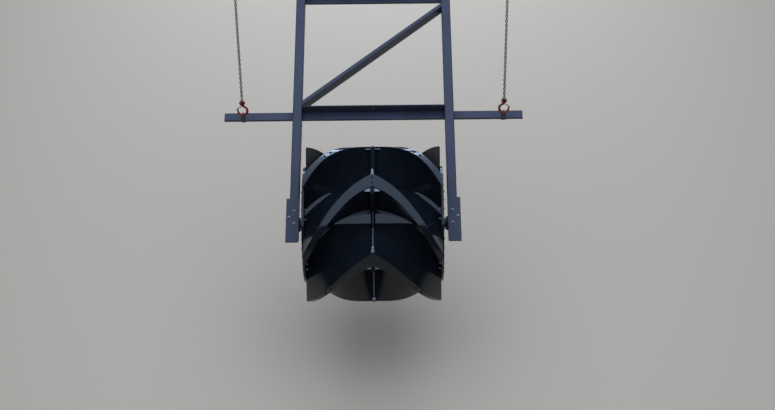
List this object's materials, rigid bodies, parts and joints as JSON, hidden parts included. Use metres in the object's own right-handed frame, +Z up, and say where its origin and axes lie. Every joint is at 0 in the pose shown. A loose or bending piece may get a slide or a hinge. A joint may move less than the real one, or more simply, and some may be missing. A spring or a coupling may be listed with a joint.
{
  "type": "herringbone-blade water turbine on a hoisted swing frame",
  "caption": "Horizontal water turbine rotor with swept herringbone blades, carried in a hinged steel swing frame that hangs by hoist chains and hooks and pivots on a sill beam.",
  "frame": {"origin": "middle of the sill beam's underside, the flat face by which the beam is bolted down", "axes": "+X along the rotor's axle and the sill beam, +Y upstream from the rotor towards the pivots, +Z up"},
  "size_m": [2.96, 4.7275, 2.8332],
  "materials": {
    "frame_paint": "weathered dark blue-grey paint on rolled steel",
    "rotor_paint": "glossy blue-black paint on steel plate",
    "sill_paint": "weathered grey paint on rolled steel",
    "shaft_steel": "turned steel",
    "bearing_iron": "painted cast iron",
    "hook_paint": "rusting red-orange paint on forged steel",
    "chain_steel": "dull galvanised steel"
  },
  "bodies": {
    "foundation": {"sill_beam": "sill_paint", "pivot_bracket_left": "sill_paint", "pivot_bracket_right": "sill_paint", "pivot_pin_left": "shaft_steel", "pivot_pin_right": "shaft_steel"},
    "swing_frame": {"arm_left": "frame_paint", "arm_right": "frame_paint", "pivot_eye_left": "frame_paint", "pivot_eye_right": "frame_paint", "crossbar_lower": "frame_paint", "crossbar_middle": "frame_paint", "crossbar_upper": "frame_paint", "brace_lower": "frame_paint", "brace_upper": "frame_paint", "chain_bar": "frame_paint", "chain_lug_left": "frame_paint", "chain_lug_right": "frame_paint", "shackle_left": "chain_steel", "shackle_right": "chain_steel", "bearing_saddle_left": "frame_paint", "bearing_saddle_right": "frame_paint", "axle_bearing_left": "bearing_iron", "axle_bearing_right": "bearing_iron"},
    "rotor": {"axle": "shaft_steel", "drum": "rotor_paint", "centre_ring": "rotor_paint", "side_disc_left": "rotor_paint", "side_disc_right": "rotor_paint", "blade_1": "rotor_paint", "blade_2": "rotor_paint", "blade_3": "rotor_paint", "blade_4": "rotor_paint", "blade_5": "rotor_paint", "blade_6": "rotor_paint"},
    "hoist_chain_left": {"hook_left": "hook_paint", "hook_latch_left": "chain_steel", "chain_left": "chain_steel", "hoist_ring_left": "chain_steel"},
    "hoist_chain_right": {"hook_right": "hook_paint", "hook_latch_right": "chain_steel", "chain_right": "chain_steel", "hoist_ring_right": "chain_steel"}
  },
  "joints": [
    {"name": "frame_swing", "type": "hinge", "parent": "foundation", "child": "swing_frame", "pos_m": [0, 0, 0.45], "axis": [-1, 0, 0], "range_deg": [-8, 30]},
    {"name": "rotor_spin", "type": "hinge", "parent": "swing_frame", "child": "rotor", "pos_m": [0, -3.88755, -1.38764], "axis": [-1, 0, 0], "continuous": true},
    {"name": "chain_hang_left", "type": "hinge", "parent": "swing_frame", "child": "hoist_chain_left", "pos_m": [-1.286, -2.77965, -0.80402], "axis": [-1, 0, 0], "range_deg": [-40, 20]},
    {"name": "chain_hang_right", "type": "hinge", "parent": "swing_frame", "child": "hoist_chain_right", "pos_m": [1.286, -2.77965, -0.80402], "axis": [-1, 0, 0], "range_deg": [-40, 20]}
  ],
  "couplings": [
    {"joint": "chain_hang_left", "follows": "frame_swing", "ratio": -1},
    {"joint": "chain_hang_right", "follows": "frame_swing", "ratio": -1}
  ]
}
